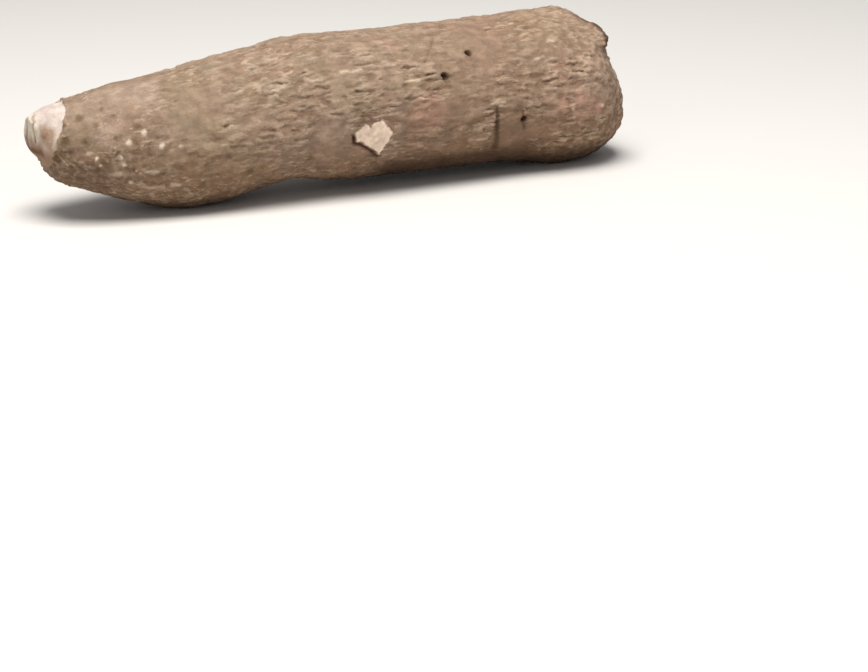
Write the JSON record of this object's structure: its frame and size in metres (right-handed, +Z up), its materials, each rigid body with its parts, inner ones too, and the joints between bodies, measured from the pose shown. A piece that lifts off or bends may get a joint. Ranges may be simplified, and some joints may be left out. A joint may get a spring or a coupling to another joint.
{
  "type": "yam tuber",
  "caption": "Long white yam lying on its side, with rough brown bark, a pared pale neck at one end and a blunt rounded growing end.",
  "frame": {"origin": "on the surface that the tuber lies on, under the middle of its box", "axes": "+Z up, +X along the tuber from the cut neck to the blunt growing end"},
  "size_m": [0.4204, 0.1068, 0.105],
  "materials": {
    "bark": "dry matt cork-like bark, wrinkled along the tuber, with pale flesh where the neck was pared"
  },
  "bodies": {
    "root": {"yam_tuber": "bark"}
  },
  "joints": []
}
